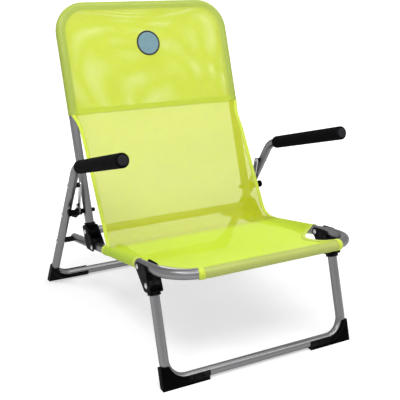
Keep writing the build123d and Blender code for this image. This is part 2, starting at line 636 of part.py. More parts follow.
def build_nodes():
    """Every node of the chair: name to solid, or to a list of like solids."""
    nodes = {
        "seat_frame_tube": seat_frame_tube(),
        "back_frame_tube": back_frame_tube(),
        "front_leg_tube": front_leg_tube(),
        "rear_arm_tube": rear_arm_tube(),
        "spreader_bar": spreader_bar(),
        "bracket_rivets": bracket_rivets(),
        "back_pivot_pins": both_sides(back_pivot_pin),
        "leg_pivot_pins": both_sides(leg_pivot_pin),
        "rear_pivot_pins": both_sides(rear_pivot_pin),
        "recline_spacers": recline_spacers(),
        "recline_rivets": recline_rivets(),
        "hood": hood(),
        "hood_patch": hood_patch(),
        "back_panel": back_panel(),
        "seat_panel": seat_panel(),
    }
    for name, side in SIDES.items():
        nodes["back_bracket_" + name] = bracket(side, BACK_PIVOT, 0)
        nodes["leg_bracket_" + name] = bracket(side, LEG_PIVOT, 180)
        nodes["back_knuckle_" + name] = knuckle(side, BACK_PIVOT, -BACK_LEAN)
        nodes["leg_knuckle_" + name] = knuckle(side, LEG_PIVOT, 180 - LEG_LEAN)
        nodes["rear_pivot_spacer_" + name] = rear_pivot_spacer(side)
        nodes["seat_end_plug_" + name] = seat_end_plug(side)
        nodes["lock_housing_" + name] = lock_housing(side)
        nodes["lock_pin_" + name] = lock_pin(side)
        nodes["lock_knob_" + name] = lock_knob(side)
        nodes["recline_plate_" + name] = recline_plate(side)
        nodes["recline_strap_" + name] = recline_strap(side)
        nodes["recline_guard_" + name] = recline_guard(side)
        front = (side, leg_lean, FRONT_BOOT_RISE, FRONT_BOOT_LAP)
        nodes["front_foot_" + name] = boot(LEG_PLANE, SEAT_HALF_WIDTH, leg_drop, *front)
        rear = (side, rear_lean, REAR_BOOT_RISE, REAR_BOOT_LAP)
        nodes["rear_foot_" + name] = boot(REAR_PLANE, ARM_HALF_WIDTH, 0, *rear)
        nodes["arm_grip_" + name] = arm_grip(side)
        nodes["arm_cap_" + name] = arm_cap(side)
    return nodes


os.makedirs("parts", exist_ok=True)
for node, shape in build_nodes().items():
    solids = shape if isinstance(shape, list) else [shape]
    export_step(Compound(children=[s.solid() for s in solids]), f"parts/{node}.step")
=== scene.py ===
"""Looks of the folding camp chair.

The mesh sling with its hems and stitching, the materials, the studio and the camera.
"""

import json
from math import asin, atan2, cos, exp, pi, radians, sin, sqrt, tan

import bmesh
import bpy
from mathutils import Matrix, Quaternion, Vector


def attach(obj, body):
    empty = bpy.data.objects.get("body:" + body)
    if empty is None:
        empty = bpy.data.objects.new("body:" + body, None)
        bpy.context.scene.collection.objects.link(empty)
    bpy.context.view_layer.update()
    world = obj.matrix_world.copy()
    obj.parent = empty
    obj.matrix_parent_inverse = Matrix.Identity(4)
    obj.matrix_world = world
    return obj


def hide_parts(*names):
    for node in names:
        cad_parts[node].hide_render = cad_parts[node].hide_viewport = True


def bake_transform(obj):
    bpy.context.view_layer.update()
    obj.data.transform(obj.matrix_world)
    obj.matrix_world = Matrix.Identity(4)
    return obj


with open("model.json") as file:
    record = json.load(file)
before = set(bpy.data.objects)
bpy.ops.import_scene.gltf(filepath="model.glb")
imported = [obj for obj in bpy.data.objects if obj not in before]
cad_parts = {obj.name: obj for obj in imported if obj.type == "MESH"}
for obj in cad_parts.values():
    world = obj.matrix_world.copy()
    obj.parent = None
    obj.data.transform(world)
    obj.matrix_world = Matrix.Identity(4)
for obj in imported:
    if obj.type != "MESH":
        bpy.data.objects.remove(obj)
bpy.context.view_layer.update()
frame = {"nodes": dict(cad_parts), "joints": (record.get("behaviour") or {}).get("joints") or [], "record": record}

# Camera, solved from the photograph (400 x 400 pixels)
IMAGE_PIXELS = 400
FOCAL_PIXELS = 736.4
SENSOR = 0.036
VIEW_AZIMUTH = radians(-28.12)
VIEW_ELEVATION = radians(17.86)
VIEW_ROLL = radians(0.22)
VIEW_DISTANCE = 1.8816
VIEW_TARGET = Vector((0.0573, 0.0891, 0.2521))

# Frame sizes in metres, as in the CAD model
TUBE_RADIUS = 0.0105
SEAT_HALF = 0.225
SEAT_TILT = radians(11.2)
SEAT_LENGTH = 0.586
SEAT_BEND = 0.080
SEAT_DIP = 0.005
SEAT_KINK = 0.492
BACK_LEAN = radians(19.3)
BACK_LENGTH = 0.550
BACK_BEND = 0.067

# Sling: cloth that lies on the tubes
CLOTH_LIFT = 0.0009
WRAP = TUBE_RADIUS + CLOTH_LIFT
HOOD_BOTTOM = 0.284
HOOD_BOW = 0.005
HOOD_HEM = 0.014
PANEL_HALF = 0.222
PANEL_KNEE_DROP = 0.078
PANEL_KNEE_OUT = 0.026
PANEL_KNEE_BEND = 0.160
PANEL_CORNER_ALONG = 0.219
PANEL_BEND = 0.038
HEAD_FLARE = 0.050
HEAD_WRAP = radians(40)
FOOT_FLARE = 0.060
FOOT_WRAP = radians(35)
SEAT_REAR = 0.248
SIDE_SLEEVE_REAR = 0.222
SIDE_SLEEVE_FRONT = 0.420
FRONT_SLEEVE_HALF = 0.170
NOTCH_REAR = 0.417
NOTCH_STEP = 0.004
NOTCH_IN = 0.178
NOTCH_BEND = 0.042
SEAT_SAG = 0.026
SEAT_SAG_POWER = 7
SEAT_SAG_EASE = 1.25
SEAM_INSET = 0.032
SLEEVE_TURN = radians(205)
HEM_WIDTH = 0.009
RING_WIDTH = 0.011
HEM_LIFT = 0.0005
HEM_LAP = 0.0004
HEM_THICKNESS = 0.0011
RING_START = -0.25
BACK_FOLD = 0.0016
SEAT_FOLD = 0.0014
WELD = 1e-6
END_SLACK = 1e-9

# Weave: lengths in metres, and detail in cells per metre
MESH_PITCH = 0.0013
MESH_DRIFT = 0.0032
DRIFT_CELLS = 9.0
YARN_FUZZ = 0.13
YARN_GRAIN = 380.0
SLUBS_ACROSS = 600.0
SLUBS_ALONG = 9.0
CLOTH_CLOUDS = 14.0
REAR_FADE = 0.03
# Inset from the bent tube over which the hood's painted shade by the tube fades out
HOOP_SHADE_FADE = (0.85 * TUBE_RADIUS, 1.1 * TUBE_RADIUS)

# What varies the mesh's colour, and how much of it is light from behind
CELL_SHARE = 0.2
CLOUD_SHARE = 0.4
SLUB_SHARE = 0.2
GRAIN_SHARE = 0.12
GLOW_SHARE = 0.3

# Mesh looks: share of a cell's side that is hole, deep colour, bright colour
BACK_LOOK = (0.35, (0.55, 0.645, 0.012, 1), (0.725, 0.80, 0.035, 1))
# Painted shade: the rim's look is a darker copy, for the shade where the cloth lies on the tube and the tube stops
# light from behind
RIM_SHADE_LOOK = (0.36, (0.52, 0.67, 0.07, 1), (0.66, 0.81, 0.13, 1))
HOOD_LOOK = (0.40, (0.67, 0.78, 0.065, 1), (0.83, 0.94, 0.125, 1))
# Painted light: the seat's colours are a brighter, greener copy of the back's, for the light that falls on it from
# above
SEAT_TOP_LIT_LOOK = (0.18, (0.62, 0.86, 0.025, 1), (0.80, 0.98, 0.06, 1))
SIDE_LOOK = (0.18, (0.60, 0.92, 0.05, 1), (0.76, 0.98, 0.10, 1))
SLEEVE_LOOK = (0.40, (0.62, 0.74, 0.105, 1), (0.80, 0.88, 0.22, 1))

# Surface detail of the other materials, in cells per metre
PAINT_FLAKES = 2600.0
PAINT_MARKS = 34.0
PAINT_PEEL = 900.0
NYLON_GRAIN = 1500.0
NYLON_SCUFFS = 70.0
CAP_MOTTLE = 420.0
FOAM_PORES = 1300.0
FOAM_WAVES = 130.0
ZINC_CLOUDS = 240.0
ZINC_SCRATCHES = (4000.0, 350.0, 350.0)
HEM_CLOUDS = 60.0
THREAD_TWIST_SHADE = 2500.0
PATCH_CLOUDS = 120.0
FIELD_RIBS = 420.0
BORDER_RIBS = 260.0

# Waves as rows of (weight, radians for each unit of the first and the second value, start)
BACK_WAVES = ((1.0, 14, 2.2, 0), (0.7, 9, -5, 1))
SEAT_WAVES = ((1.0, 8, 11, 0), (0.7, -4, 24, 2))
REAR_WAVES_ACROSS = ((1.0, 12, 17, 0), (0.7, 22, -9, 0))
REAR_WAVES_UP = ((1.0, -10, 19, 1), (0.6, 15, 26, 0))

# Rear sheet of the hood: its yarns against the front's, in cells of the weave
REAR_SCALE = 0.9875
REAR_SWAY = 0.45
REAR_PULL = 5.0
REAR_PULL_REACH = 0.028
REAR_PULL_BOW = 0.9

# Patch on the hood
PATCH_RADIUS = 0.032
PATCH_UP = 0.451
PATCH_RIM = 0.0046
PATCH_THICKNESS = 0.0010
PATCH_HOLE = 0.0002
PATCH_LAP = 0.0006
RIM_HEIGHT = 0.0019

# Stitches
STITCH_LENGTH = 0.0030
STITCH_PITCH = 0.0042
STITCH_RADIUS = 0.00035
STITCH_INSET = 0.0016
HOOD_STITCH_INSET = 0.002

# Points along the sides of the grids
HOOD_ROWS = 40
HOOD_COLUMNS = 40
HOOD_BEND_COLUMNS = 12
HOOD_RIM_ROWS = 17
HOOD_HEM_ROWS = 3
HOOD_HEM_COLUMNS = 48
HOOD_SEAM_POINTS = 60
PATCH_STEPS = 96
PATCH_FIELD_ROWS = 12
PATCH_BORDER_ROWS = 9
BACK_ROWS = 90
CLOTH_COLUMNS = 72
SEAT_ROWS = 36
NOTCH_STEP_ROWS = 4
NOTCH_BEND_ROWS = 14
SEAT_FRONT_ROWS = 28
SIDE_SLEEVE_ROWS = 28
FRONT_SLEEVE_ROWS = 48
SLEEVE_STEPS = 25
FLAP_STEPS = 5
HEM_STEPS = 5
RING_ROWS = 4
SEAT_SEAM_POINTS = 40
STITCH_SIDES = 6
STITCH_RINGS = 4

# Studio: lamps as (name, place, width, height, watts), each turned to the chair
LAMPS = (
    ("top", (0.5, -0.3, 2.35), 1.3, 1.3, 13.0),
    ("strip", (-0.1, -1.5, 2.1), 4.2, 0.65, 37.0),
    ("spot", (-1.25, -0.25, 2.3), 0.8, 0.7, 15.0))
WORLD_LIGHT = 0.30
FLOOR_REACH = 40.0
FLOOR_SHADE = (0.8, 0.8, 0.8, 1)
FLOOR_NEAR = 0.45
FLOOR_FAR = 1.1
FLOOR_NEAR_GLOW = 0.46
FLOOR_MIRRORED_GLOW = 0.65

pivots = {joint["name"]: Vector(joint["pos_m"]) for joint in frame["joints"]}
REAR_PIVOT = pivots["rear_frame_fold"]
BACK_PIVOT = pivots["backrest_fold"]


def seat_place(x, along, above):
    """Point on the seat: forwards from the rear pivot along the tubes, and square to them."""
    forward = Vector((0, -cos(SEAT_TILT), sin(SEAT_TILT)))
    normal = Vector((0, sin(SEAT_TILT), cos(SEAT_TILT)))
    drop = SEAT_DIP * max(0, along - SEAT_KINK) / (SEAT_LENGTH - SEAT_KINK)
    return REAR_PIVOT + Vector((x, 0, 0)) + along * forward + (above - drop) * normal


def back_place(x, up, out):
    """Point on the backrest: up from its pivot along the tubes, and out to the front."""
    rise = Vector((0, sin(BACK_LEAN), cos(BACK_LEAN)))
    normal = Vector((0, -cos(BACK_LEAN), sin(BACK_LEAN)))
    return BACK_PIVOT + Vector((x, 0, 0)) + up * rise + out * normal


def spaced(low, high, count):
    return [low + (high - low) * i / (count - 1) for i in range(count)]


def waves(rows, a, b):
    return sum(weight * sin(of_a * a + of_b * b + start) for weight, of_a, of_b, start in rows)


def add_object(name, data):
    made = bpy.data.objects.new(name, data)
    bpy.context.scene.collection.objects.link(made)
    return made


# Shader nodes


def node(tree, kind, inputs=None, **settings):
    """A shader node, with each input set to a value or linked to an output."""
    made = tree.nodes.new(kind)
    for name, value in settings.items():
        setattr(made, name, value)
    for key, value in (inputs or {}).items():
        if isinstance(value, bpy.types.NodeSocket):
            tree.links.new(value, made.inputs[key])
        else:
            made.inputs[key].default_value = value
    return made


def material(name):
    made = bpy.data.materials.new(name)
    made.use_nodes = True
    made.node_tree.nodes.clear()
    return made, made.node_tree


def finish_material(tree, shader):
    node(tree, "ShaderNodeOutputMaterial", {"Surface": shader})


def finish_principled(tree, inputs):
    finish_material(tree, node(tree, "ShaderNodeBsdfPrincipled", inputs).outputs[0])


def math(tree, operation, a, b=0.0):
    return node(tree, "ShaderNodeMath", {0: a, 1: b}, operation=operation).outputs[0]


def vector_math(tree, operation, a, b=(0, 0, 0)):
    return node(tree, "ShaderNodeVectorMath", {0: a, 1: b}, operation=operation).outputs[0]


def blend_colours(tree, share, a, b):
    made = node(tree, "ShaderNodeMix", data_type="RGBA")
    for index, value in ((0, share), (6, a), (7, b)):
        if isinstance(value, bpy.types.NodeSocket):
            tree.links.new(value, made.inputs[index])
        else:
            made.inputs[index].default_value = value
    return made.outputs[2]


def remap(tree, value, low, high, to_low, to_high):
    inputs = {
        "Value": value, "From Min": low, "From Max": high, "To Min": to_low, "To Max": to_high}
    return node(tree, "ShaderNodeMapRange", inputs).outputs[0]


def noise(tree, coordinates, scale, detail=2.0, roughness=0.5):
    inputs = {"Vector": coordinates, "Scale": scale, "Detail": detail, "Roughness": roughness}
    return node(tree, "ShaderNodeTexNoise", inputs).outputs["Fac"]


def object_coordinates(tree):
    return node(tree, "ShaderNodeTexCoord").outputs["Object"]


def cloth_coordinates(tree):
    return node(tree, "ShaderNodeUVMap", uv_map="Cloth").outputs[0]


def bump(tree, height, distance, strength=1.0):
    inputs = {"Height": height, "Distance": distance, "Strength": strength}
    return node(tree, "ShaderNodeBump", inputs).outputs[0]


# Materials


def silver_paint():
    """Satin silver powder coat: fine flakes, orange peel and faint handling marks."""
    made, tree = material("silver_powder_coat")
    place = object_coordinates(tree)
    flakes = node(tree, "ShaderNodeTexVoronoi", {"Vector": place, "Scale": PAINT_FLAKES})
    flake = node(tree, "ShaderNodeSeparateColor", {0: flakes.outputs["Color"]}).outputs[0]
    marks = noise(tree, place, PAINT_MARKS, 5.0, 0.6)
    glint = remap(tree, flake, 0, 1, 0, 0.5)
    shade = blend_colours(tree, glint, (0.148, 0.148, 0.152, 1), (0.23, 0.23, 0.235, 1))
    handled = remap(tree, marks, 0.35, 0.75, 0, 0.22)
    shade = blend_colours(tree, handled, shade, (0.17, 0.17, 0.175, 1))
    peel = noise(tree, place, PAINT_PEEL, 2.0)
    rough = remap(tree, marks, 0.3, 0.75, 0.28, 0.35)
    finish_principled(tree, {
        "Base Color": shade, "Roughness": rough, "Metallic": 0.9,
        "Specular Tint": (0.35, 0.35, 0.35, 1), "Coat Weight": 0.3, "Coat Roughness": 0.2,
        "Normal": bump(tree, peel, 0.00003)})
    return made


def black_nylon():
    """Moulded nylon: fine spark texture, dusty scuffs, edges a little paler."""
    made, tree = material("black_nylon")
    place = object_coordinates(tree)
    grain = noise(tree, place, NYLON_GRAIN, 3.0)
    scuff = noise(tree, place, NYLON_SCUFFS, 6.0, 0.65)
    edge = node(tree, "ShaderNodeNewGeometry").outputs["Pointiness"]
    proud = remap(tree, edge, 0.52, 0.6, 0, 1)
    worn = math(tree, "MULTIPLY", proud, remap(tree, scuff, 0.4, 0.65, 0.1, 0.8))
    dusty = remap(tree, scuff, 0.45, 0.8, 0, 0.6)
    shade = blend_colours(tree, dusty, (0.0015, 0.0015, 0.0016, 1), (0.004, 0.004, 0.0044, 1))
    shade = blend_colours(tree, worn, shade, (0.03, 0.03, 0.032, 1))
    rough = remap(tree, scuff, 0.3, 0.75, 0.46, 0.62)
    finish_principled(tree, {
        "Base Color": shade, "Roughness": rough, "Specular IOR Level": 0.015,
        "Normal": bump(tree, grain, 0.00005, 0.7)})
    return made


def grey_cap():
    """Grey moulded cap with a mottled face."""
    made, tree = material("grey_cap")
    place = object_coordinates(tree)
    mottle = noise(tree, place, CAP_MOTTLE, 4.0, 0.6)
    pale = remap(tree, mottle, 0.35, 0.7, 0, 1)
    shade = blend_colours(tree, pale, (0.010, 0.010, 0.012, 1), (0.028, 0.028, 0.031, 1))
    finish_principled(tree, {
        "Base Color": shade, "Roughness": remap(tree, mottle, 0.3, 0.7, 0.5, 0.65),
        "Specular IOR Level": 0.1, "Normal": bump(tree, mottle, 0.0001, 0.5)})
    return made


def black_foam():
    """Closed-cell foam: small pores, soft waves and a dull sheen."""
    made, tree = material("black_foam")
    place = object_coordinates(tree)
    cells = node(tree, "ShaderNodeTexVoronoi", {"Vector": place, "Scale": FOAM_PORES})
    pores = cells.outputs["Distance"]
    swell = noise(tree, place, FOAM_WAVES, 3.0)
    # Painted shade: the pores' middles, which the bump sinks, are darker, for the shade down in them
    deep = remap(tree, pores, 0.1, 0.6, 1, 0)
    shade = blend_colours(tree, deep, (0.007, 0.007, 0.0074, 1), (0.003, 0.003, 0.003, 1))
    height = math(tree, "ADD", math(tree, "MULTIPLY", pores, 0.5), swell)
    finish_principled(tree, {
        "Base Color": shade, "Roughness": remap(tree, swell, 0.3, 0.7, 0.7, 0.85),
        "Specular IOR Level": 0.01, "Normal": bump(tree, height, 0.0002, 0.3)})
    return made


def zinc_steel():
    """Zinc plated steel: drawn scratches and cloudy plating."""
    made, tree = material("zinc_steel")
    place = object_coordinates(tree)
    cloud = noise(tree, place, ZINC_CLOUDS, 4.0)
    drawn = vector_math(tree, "MULTIPLY", place, ZINC_SCRATCHES)
    scratch = noise(tree, drawn, 1.0, 2.0)
    shade = blend_colours(tree, cloud, (0.30, 0.30, 0.31, 1), (0.50, 0.50, 0.51, 1))
    finish_principled(tree, {
        "Base Color": shade, "Roughness": remap(tree, cloud, 0.3, 0.7, 0.2, 0.36),
        "Metallic": 1.0, "Normal": bump(tree, scratch, 0.00003, 0.5)})
    return made


def past_rear(tree, flat):
    """Zero at the seat's rear edge, one from REAR_FADE on, where the seat's brighter look of painted top light has
    taken over.
    """
    along = node(tree, "ShaderNodeSeparateXYZ", {0: flat}).outputs[1]
    return remap(tree, along, SEAT_REAR, SEAT_REAR + REAR_FADE, 0, 1)


def off_hoop_shade(tree, flat):
    """Painted shade mask: zero where the hood lies on the bent tube and takes the rim's darker colours, one
    further in.
    """
    bend = (SEAT_HALF - BACK_BEND, BACK_LENGTH - BACK_BEND, 0)
    past = vector_math(tree, "SUBTRACT", vector_math(tree, "ABSOLUTE", flat), bend)
    corner = vector_math(tree, "MAXIMUM", past, (0, 0, 0))
    corner = node(tree, "ShaderNodeVectorMath", {0: corner}, operation="LENGTH").outputs["Value"]
    split = node(tree, "ShaderNodeSeparateXYZ", {0: past})
    straight = math(tree, "MINIMUM", math(tree, "MAXIMUM", split.outputs[0], split.outputs[1]), 0.0)
    inset = math(tree, "SUBTRACT", BACK_BEND, math(tree, "ADD", corner, straight))
    return remap(tree, inset, *HOOP_SHADE_FADE, 0, 1)


def mesh_cloth(name, look, change=None, other=None):
    """Open woven mesh with a mesh look. UVs are metres along the yarns.

    Other is the look that it has where the function change gives zero."""
    made, tree = material(name)
    opening, deep, bright = look
    flat = cloth_coordinates(tree)
    drift = node(tree, "ShaderNodeTexNoise", {"Vector": flat, "Scale": DRIFT_CELLS, "Detail": 1.0})
    drift = vector_math(tree, "SUBTRACT", drift.outputs["Color"], (0.5, 0.5, 0.5))
    drift = vector_math(tree, "MULTIPLY", drift, (MESH_DRIFT, MESH_DRIFT, 0))
    cells = vector_math(tree, "DIVIDE", vector_math(tree, "ADD", flat, drift), (MESH_PITCH,) * 3)
    inside = vector_math(tree, "SUBTRACT", vector_math(tree, "FRACTION", cells), (0.5, 0.5, 0.5))
    split = node(tree, "ShaderNodeSeparateXYZ", {0: vector_math(tree, "ABSOLUTE", inside)})
    far = math(tree, "MAXIMUM", split.outputs[0], split.outputs[1])
    if change:
        share = change(tree, flat)
        opening = remap(tree, share, 0, 1, other[0], opening)
        deep = blend_colours(tree, share, other[1], deep)
        bright = blend_colours(tree, share, other[2], bright)
    past = math(tree, "SUBTRACT", math(tree, "MULTIPLY", opening, 0.5), far)
    hole = remap(tree, past, -YARN_FUZZ, YARN_FUZZ, 0, 1)
    number = {"Vector": vector_math(tree, "FLOOR", cells)}
    cell = node(tree, "ShaderNodeTexWhiteNoise", number, noise_dimensions="3D").outputs["Value"]
    cloud = noise(tree, flat, CLOTH_CLOUDS, 3.0)
    warp = yarn_streaks(tree, flat, (SLUBS_ACROSS, SLUBS_ALONG, 0))
    slubs = math(tree, "ADD", warp, yarn_streaks(tree, flat, (SLUBS_ALONG, SLUBS_ACROSS, 0)))
    grain = remap(tree, noise(tree, flat, YARN_GRAIN, 1.0), 0.3, 0.7, -GRAIN_SHARE, GRAIN_SHARE)
    share = math(tree, "MULTIPLY", cell, CELL_SHARE)
    share = math(tree, "ADD", share, math(tree, "MULTIPLY", cloud, CLOUD_SHARE))
    share = math(tree, "ADD", share, grain)
    share = math(tree, "ADD", share, math(tree, "MULTIPLY", slubs, SLUB_SHARE))
    shade = blend_colours(tree, share, deep, bright)
    yarn_round = math(tree, "MULTIPLY", split.outputs[0], split.outputs[1])
    normal = bump(tree, yarn_round, 0.0004, 0.6)
    yarn = node(tree, "ShaderNodeBsdfPrincipled", {
        "Base Color": shade, "Roughness": 0.6, "Sheen Weight": 0.03,
        "Specular IOR Level": 0.08, "Normal": normal})
    glow = node(tree, "ShaderNodeBsdfTranslucent", {"Color": shade, "Normal": normal})
    mixed = {0: GLOW_SHARE, 1: yarn.outputs[0], 2: glow.outputs[0]}
    cloth = node(tree, "ShaderNodeMixShader", mixed)
    clear = node(tree, "ShaderNodeBsdfTransparent")
    pierced = {0: hole, 1: cloth.outputs[0], 2: clear.outputs[0]}
    finish_material(tree, node(tree, "ShaderNodeMixShader", pierced).outputs[0])
    return made


def yarn_streaks(tree, flat, stretch):
    """Thick and thin places along the yarns."""
    return noise(tree, vector_math(tree, "MULTIPLY", flat, stretch), 1.0, 1.0)


def hem_cloth():
    """Folded hem: the same yarn, closed by its layers, with a fine check."""
    made, tree = material("lime_hem")
    flat = cloth_coordinates(tree)
    cells = vector_math(tree, "DIVIDE", flat, (MESH_PITCH,) * 3)
    checks = node(tree, "ShaderNodeTexChecker", {"Vector": cells, "Scale": 1.0}).outputs["Fac"]
    cloud = noise(tree, flat, HEM_CLOUDS, 3.0)
    share = math(tree, "MULTIPLY", checks, 0.35)
    share = math(tree, "ADD", share, math(tree, "MULTIPLY", cloud, 0.65))
    shade = blend_colours(tree, share, (0.58, 0.72, 0.035, 1), (0.72, 0.84, 0.09, 1))
    finish_principled(tree, {
        "Base Color": shade, "Roughness": 0.62, "Sheen Weight": 0.2, "Specular IOR Level": 0.3,
        "Normal": bump(tree, checks, 0.0003, 0.5)})
    return made


def thread():
    """Sewing thread with painted shade: darker in patches, standing for where it twists away from the light."""
    made, tree = material("lime_thread")
    twist_shade = noise(tree, object_coordinates(tree), THREAD_TWIST_SHADE, 1.0)
    # Painted shade: noise darkens the thread in patches
    shade = blend_colours(tree, twist_shade, (0.36, 0.56, 0.010, 1), (0.60, 0.82, 0.03, 1))
    finish_principled(tree, {"Base Color": shade, "Roughness": 0.5, "Sheen Weight": 0.2})
    return made


def patch_cloth(name, deep, pale, ribs):
    """Woven or overlocked patch cloth with fine ribs along one direction of its UVs."""
    made, tree = material(name)
    flat = cloth_coordinates(tree)
    inputs = {"Vector": flat, "Scale": ribs, "Distortion": 0.6, "Detail": 1.0}
    rib = node(tree, "ShaderNodeTexWave", inputs).outputs["Fac"]
    cloud = noise(tree, flat, PATCH_CLOUDS, 3.0)
    share = math(tree, "MULTIPLY", rib, remap(tree, cloud, 0.2, 0.8, 0.6, 1.0))
    shade = blend_colours(tree, share, deep, pale)
    finish_principled(tree, {
        "Base Color": shade, "Roughness": 0.7, "Sheen Weight": 0.25,
        "Normal": bump(tree, rib, 0.0003, 0.6)})
    return made


# Cloth meshes


def cloth_object(name, grids, *looks):
    """One mesh of grids of (point, (u, v)), welded where they meet.

    Each grid has its look, and the last look serves the grids left over. The cloth is left out of
    bounced light and reflections, so that it doesn't turn the tubes and the floor green."""
    points, flats, faces, slots = [], [], [], []
    for number, rows in enumerate(grids):
        first, width = len(points), len(rows[0])
        for row in rows:
            points += [point for point, _ in row]
            flats += [flat for _, flat in row]
        for j in range(len(rows) - 1):
            for i in range(width - 1):
                corner = first + j * width + i
                faces.append((corner, corner + 1, corner + width + 1, corner + width))
                slots.append(min(number, len(looks) - 1))
    mesh = bpy.data.meshes.new(name)
    mesh.from_pydata(points, [], faces)
    mesh.polygons.foreach_set("material_index", slots)
    layer = mesh.uv_layers.new(name="Cloth")
    for loop in mesh.loops:
        layer.uv[loop.index].vector = flats[loop.vertex_index]
    weld = bmesh.new()
    weld.from_mesh(mesh)
    bmesh.ops.remove_doubles(weld, verts=weld.verts, dist=WELD)
    weld.to_mesh(mesh)
    weld.free()
    mesh.shade_smooth()
    for look in looks:
        mesh.materials.append(look)
    made = add_object(name, mesh)
    made.visible_diffuse = False
    made.visible_glossy = False
    return made


def thicken(piece, thickness):
    """The sheet, thickened on both sides."""
    solid = piece.modifiers.new("thickness", "SOLIDIFY")
    solid.thickness = thickness
    solid.offset = 0
    return piece


def stitches(name, lines, look):
    """Rows of short stitches. A line is a list of points on the cloth."""
    shape = bmesh.new()
    for line in lines:
        travelled = STITCH_PITCH / 2
        for a, b in zip(line, line[1:]):
            run = (b - a).length
            while travelled < run:
                add_stitch(shape, a.lerp(b, travelled / run), (b - a).normalized())
                travelled += STITCH_PITCH
            travelled -= run
    mesh = bpy.data.meshes.new(name)
    shape.to_mesh(mesh)
    shape.free()
    mesh.shade_smooth()
    mesh.materials.append(look)
    return add_object(name, mesh)


def add_stitch(shape, middle, along):
    """A short strand with pointed ends."""
    turn = along.to_track_quat("Z", "Y").to_matrix().to_4x4()
    size = Matrix.Diagonal((STITCH_RADIUS, STITCH_RADIUS, STITCH_LENGTH / 2, 1))
    place = Matrix.Translation(middle) @ turn @ size
    bmesh.ops.create_uvsphere(
        shape, u_segments=STITCH_SIDES, v_segments=STITCH_RINGS, radius=1, matrix=place)


# Hood


def hood_bow(x, up):
    """How far the hood's sheets draw in between the tubes."""
    height = (up - HOOD_BOTTOM) / (BACK_LENGTH - HOOD_BOTTOM)
    across = x / SEAT_HALF
    return HOOD_BOW * max(0, 1 - across * across) * max(0, 1 - height * height)


def hood_columns():
    """(x, top of the tube's line, outward direction there) for each column of the hood's sheets."""
    columns = []
    for angle in spaced(-pi / 2, 0, HOOD_BEND_COLUMNS):
        columns.append((BACK_BEND - SEAT_HALF + BACK_BEND * sin(angle), angle))
    straight = spaced(BACK_BEND - SEAT_HALF, SEAT_HALF - BACK_BEND, HOOD_COLUMNS)
    columns += [(x, 0.0) for x in straight[1:-1]]
    for angle in spaced(0, pi / 2, HOOD_BEND_COLUMNS):
        columns.append((SEAT_HALF - BACK_BEND + BACK_BEND * sin(angle), angle))
    return [
        (x, BACK_LENGTH - BACK_BEND * (1 - cos(angle)), (sin(angle), cos(angle)))
        for x, angle in columns]


def hood_piece(look, rim_shade_look):
    """Front sheet, the rim round the bent tube, and rear sheet. The rim has darker colours, a painted shade where
    the cloth lies on the tube.
    """
    columns = hood_columns()
    shares = spaced(0, 1, HOOD_ROWS)
    front, rear = [], []
    for share in shares:
        ups = [HOOD_BOTTOM + (top - HOOD_BOTTOM) * share for _, top, _ in columns]
        places = [(x, up, WRAP - hood_bow(x, up)) for (x, _, _), up in zip(columns, ups)]
        front.append([(back_place(x, up, out), (x, up)) for x, up, out in places])
        rear.append([(back_place(x, up, -out), rear_flat(x, up)) for x, up, out in places])
    top = columns[0][1]
    sides = [HOOD_BOTTOM + (top - HOOD_BOTTOM) * share for share in shares]
    edge = [(-SEAT_HALF, up, (-1, 0)) for up in sides[:-1]]
    edge += columns
    edge += [(SEAT_HALF, up, (1, 0)) for up in reversed(sides[:-1])]
    rim = []
    for angle in spaced(0, pi, HOOD_RIM_ROWS):
        reach, out = WRAP * sin(angle), WRAP * cos(angle)
        row = []
        for x, up, (dx, dup) in edge:
            point = back_place(x + dx * reach, up + dup * reach, out)
            row.append((point, (x + dx * WRAP * angle, up + dup * WRAP * angle)))
        rim.append(row)
    hood = cloth_object("hood_cloth", [front, rim, rear], look, rim_shade_look, look)
    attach(hood, "backrest")
    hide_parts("hood")
    return hood


def rear_flat(x, up):
    """The rear sheet's yarns lie askew to the front's: they sway, and the top tube draws them up."""
    sway_x = REAR_SWAY * waves(REAR_WAVES_ACROSS, x, up)
    sway_up = REAR_SWAY * waves(REAR_WAVES_UP, x, up)
    below = BACK_LENGTH - up + REAR_PULL_BOW * x * x
    pull = REAR_PULL * exp(-below / REAR_PULL_REACH)
    return REAR_SCALE * x + MESH_PITCH * sway_x, REAR_SCALE * up + MESH_PITCH * (sway_up + pull)


def hood_hem(look):
    """Folded lower edge of the pocket's rear sheet, sewn behind the front sheet."""
    rows = []
    for up in spaced(HOOD_BOTTOM, HOOD_BOTTOM + HOOD_HEM, HOOD_HEM_ROWS):
        row = []
        for x in spaced(-SEAT_HALF, SEAT_HALF, HOOD_HEM_COLUMNS):
            out = WRAP - hood_bow(x, up) - 2 * HEM_LIFT
            row.append((back_place(x, up, out), (x, up)))
        rows.append(row)
    hem = cloth_object("hood_hem", [rows], look)
    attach(hem, "backrest")
    return hem


def hood_stitching(look):
    lines = []
    for up in (HOOD_BOTTOM + HOOD_STITCH_INSET, HOOD_BOTTOM + HOOD_HEM - HOOD_STITCH_INSET):
        xs = spaced(-SEAT_HALF, SEAT_HALF, HOOD_SEAM_POINTS)
        lines.append([back_place(x, up, WRAP - hood_bow(x, up) + STITCH_RADIUS / 2) for x in xs])
    sewn = stitches("hood_stitching", lines, look)
    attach(sewn, "backrest")
    return sewn


